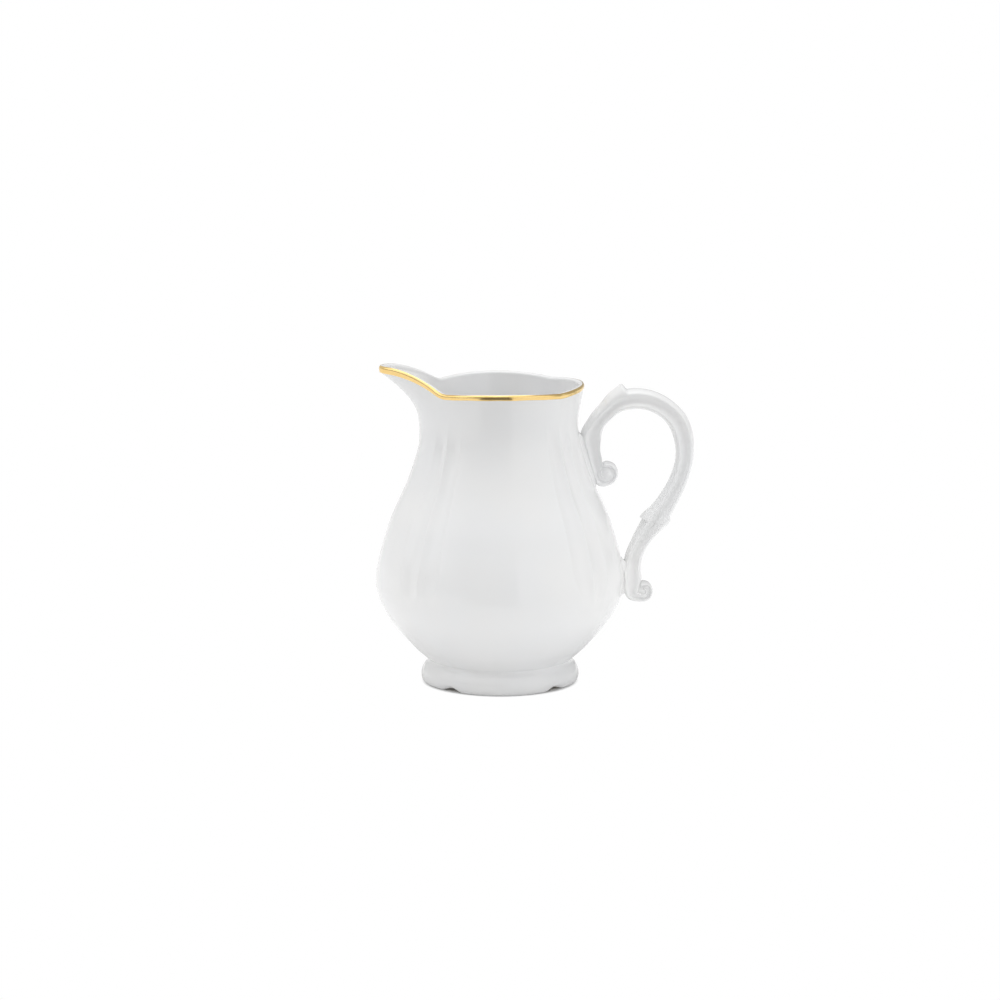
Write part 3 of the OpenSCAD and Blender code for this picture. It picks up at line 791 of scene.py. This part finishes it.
# ---------------------------------------------------------------- pieces into the frame
for piece, node, slot, finish in (
        (body, "body", "porcelain", GLAZE),
        (lip, "pouring_lip", "porcelain", GLAZE),
        (foot, "foot_ring", "porcelain", GLAZE),
        (ring, "standing_ring", "biscuit", BISCUIT),
        (bow, "handle_bow", "porcelain", GLAZE),
        (tail, "handle_tail", "porcelain", GLAZE),
        (upper, "upper_scroll", "porcelain", GLAZE),
        (lower, "lower_scroll", "porcelain", GLAZE),
        (thumb, "thumb_leaf", "porcelain", GLAZE),
        (knuckle, "knuckle_leaf", "porcelain", GLAZE),
        (upper_slip, "upper_slip_joint", "slip", SLIP_GLAZE),
        (lower_slip, "lower_slip_joint", "slip", SLIP_GLAZE),
        (gilt, "gilt_line", "gilding", GOLD)):
    piece.data.materials.append(finish)
    piece.name = node + "_piece"
    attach(piece, "root")
    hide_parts(node)

# ---------------------------------------------------------------- floor, light and camera
FLOOR_HALF = 6.0
me = bpy.data.meshes.new("floor")
me.from_pydata([(-FLOOR_HALF, -FLOOR_HALF, 0), (FLOOR_HALF, -FLOOR_HALF, 0),
                (FLOOR_HALF, FLOOR_HALF, 0), (-FLOOR_HALF, FLOOR_HALF, 0)], [], [(0, 1, 2, 3)])
table = bpy.data.objects.new("floor", me)
bpy.context.collection.objects.link(table)
FLOOR_TONE = 0.8
# Distance from the axis at which the floor turns white to the camera; nearer the axis it doesn't
# glow, a painted shadow under the foot
FLOOR_WHITE_FROM = (0.0238, 0.0258)
# Painted bounce light, which the floor glows to every ray but the camera's, lighting the glaze:
# level, and the ring's two radii
FLOOR_PAINTED_BOUNCE = (
    (0.06, 0.001, 0.05),
    (0.24, 0.05, 0.15),
    (0.16, 0.15, 0.6),
)


def math_node(tree, op, a, b=None):
    n = tree.nodes.new("ShaderNodeMath")
    n.operation = op
    for i, v in enumerate((a, b)):
        if isinstance(v, (int, float)):
            n.inputs[i].default_value = v
        elif v is not None:
            tree.links.new(v, n.inputs[i])
    return n.outputs[0]


def smooth(tree, value, lo, hi, out_lo=0.0, out_hi=1.0):
    r = tree.nodes.new("ShaderNodeMapRange")
    r.interpolation_type = "SMOOTHSTEP"
    if lo > hi:
        lo, hi, out_lo, out_hi = hi, lo, out_hi, out_lo
    for i, v in enumerate((lo, hi, out_lo, out_hi)):
        r.inputs[i + 1].default_value = v
    tree.links.new(value, r.inputs[0])
    return r.outputs[0]


# The floor is overexposed to the camera all round the foot but not under it, which is painted
# shadow, and lit white elsewhere, down to a dark front edge of painted shade that the glaze mirrors
m, nt, bsdf, co = material("floor")
xyz = nt.nodes.new("ShaderNodeSeparateXYZ")
nt.links.new(co, xyz.inputs[0])
far = math_node(nt, "SQRT", math_node(nt, "ADD", math_node(nt, "POWER", xyz.outputs[0], 2.0),
                                      math_node(nt, "POWER", xyz.outputs[1], 2.0)))
path = nt.nodes.new("ShaderNodeLightPath")
# Glow for the camera only past the foot's edge: the dark under the foot and in its arches is
# painted shadow
white = math_node(nt, "MULTIPLY", path.outputs["Is Camera Ray"],
                  smooth(nt, far, *FLOOR_WHITE_FROM))
# A dark wedge of floor in front of the jug, painted shade standing in for the dark room, which the
# glaze and gold mirror
side = math_node(nt, "ARCTAN2", xyz.outputs[0], math_node(nt, "MULTIPLY", xyz.outputs[1], -1.0))
gap = math_node(nt, "MULTIPLY", smooth(nt, side, -0.66, -0.56), smooth(nt, side, 0.26, 0.22))
gap = math_node(nt, "MULTIPLY", gap, smooth(nt, xyz.outputs[1], -0.10, -0.16, 0.0, 0.9))
lit = math_node(nt, "MULTIPLY", math_node(nt, "SUBTRACT", 1.0, gap),
                math_node(nt, "SUBTRACT", 1.0, white))
grain = remap(nt, noise(nt, co, 40, 3), 0.98, 1.0)
tone = nt.nodes.new("ShaderNodeCombineColor")
for socket in tone.inputs[:3]:
    nt.links.new(math_node(nt, "MULTIPLY", math_node(nt, "MULTIPLY", lit, grain), FLOOR_TONE),
                 socket)
nt.links.new(tone.outputs[0], bsdf.inputs["Base Color"])
unseen = math_node(nt, "SUBTRACT", 1.0, path.outputs["Is Camera Ray"])
glow = white
# Rings of painted bounce light, hidden from the camera
for level, r0, r1 in FLOOR_PAINTED_BOUNCE:
    painted_bounce_ring = math_node(nt, "MULTIPLY", smooth(nt, far, 0.9 * r0, 1.1 * r0),
                     smooth(nt, far, 1.1 * r1, 0.9 * r1))
    painted_bounce_ring = math_node(nt, "MULTIPLY", math_node(nt, "MULTIPLY", painted_bounce_ring, unseen), level)
    glow = math_node(nt, "ADD", glow, painted_bounce_ring)
nt.links.new(glow, bsdf.inputs["Emission Strength"])
m.cycles.emission_sampling = "NONE"
bsdf.inputs["Emission Color"].default_value = (1, 1, 1, 1)
bsdf.inputs["Roughness"].default_value = 0.6
bsdf.inputs["Specular IOR Level"].default_value = 0.0
me.materials.append(m)

world = bpy.data.worlds.new("studio")
bpy.context.scene.world = world
world.use_nodes = True
wt = world.node_tree
wt.nodes.clear()
w_out = wt.nodes.new("ShaderNodeOutputWorld")
w_bg = wt.nodes.new("ShaderNodeBackground")
wt.links.new(w_bg.outputs[0], w_out.inputs[0])
w_co = wt.nodes.new("ShaderNodeTexCoord")
w_xyz = wt.nodes.new("ShaderNodeSeparateXYZ")
wt.links.new(w_co.outputs["Generated"], w_xyz.inputs[0])
w_path = wt.nodes.new("ShaderNodeLightPath")
DEGREES = 180 / math.pi
turn_deg = math_node(wt, "MULTIPLY", math_node(
    wt, "ARCTAN2", w_xyz.outputs[0], math_node(wt, "MULTIPLY", w_xyz.outputs[1], -1.0)), DEGREES)
rise_deg = math_node(wt, "MULTIPLY", math_node(wt, "ARCSINE", w_xyz.outputs[2]), DEGREES)
# Each softbox: level, its turn from the front in degrees (right is positive) with the width of
# each soft edge, and its rise with the same
SOFTBOXES = (
    (1.02, 13, 2, 92, 20, -90, 1, 42, 12),
    (0.75, 13, 2, 92, 20, 42, 12, 60, 10),
    (0.22, -100, 12, -54, 36, -90, 1, 12, 10),
    (1.32, -100, 12, -54, 36, 12, 10, 60, 10),
    (2.10, -90, 20, 90, 20, 60, 10, 200, 1),
    (1.70, -400, 1, -90, 20, 60, 10, 200, 1),
    (1.70, 90, 20, 400, 1, 60, 10, 200, 1),
    (0.70, -400, 1, -100, 12, -90, 1, 60, 10),
    (0.44, 92, 20, 400, 1, -90, 1, 60, 10),
    (0.12, -54, 36, 13, 2, -90, 1, 22, 16),
    (0.85, -54, 36, 13, 2, 22, 16, 60, 10),
)
total = None
for level, t0, t0_soft, t1, t1_soft, r0, r0_soft, r1, r1_soft in SOFTBOXES:
    box = math_node(wt, "MULTIPLY",
                    math_node(wt, "MULTIPLY",
                              smooth(wt, turn_deg, t0 - t0_soft / 2, t0 + t0_soft / 2),
                              smooth(wt, turn_deg, t1 + t1_soft / 2, t1 - t1_soft / 2)),
                    math_node(wt, "MULTIPLY",
                              smooth(wt, rise_deg, r0 - r0_soft / 2, r0 + r0_soft / 2),
                              smooth(wt, rise_deg, r1 + r1_soft / 2, r1 - r1_soft / 2)))
    box = math_node(wt, "MULTIPLY", box, level)
    total = box if total is None else math_node(wt, "ADD", total, box)
seen = math_node(wt, "MAXIMUM", total, w_path.outputs["Is Camera Ray"])
wt.links.new(seen, w_bg.inputs["Strength"])
w_bg.inputs["Color"].default_value = (1, 1, 1, 1)

AZIMUTH, ELEVATION, DISTANCE, LENS = -3.5, 10.2, 1.4, 155.6
target = Vector((0, 0, 0.0596))
away = Vector((math.sin(math.radians(AZIMUTH)) * math.cos(math.radians(ELEVATION)),
               -math.cos(math.radians(AZIMUTH)) * math.cos(math.radians(ELEVATION)),
               math.sin(math.radians(ELEVATION))))
cam = bpy.data.objects.new("camera", bpy.data.cameras.new("camera"))
cam.data.lens = LENS
cam.data.sensor_width = 36
cam.data.clip_end = 30
cam.location = target + DISTANCE * away
cam.rotation_euler = (-away).to_track_quat("-Z", "Y").to_euler()
bpy.context.collection.objects.link(cam)
bpy.context.scene.camera = cam

bpy.context.scene.view_settings.view_transform = "Standard"
bpy.context.scene.view_settings.look = "None"
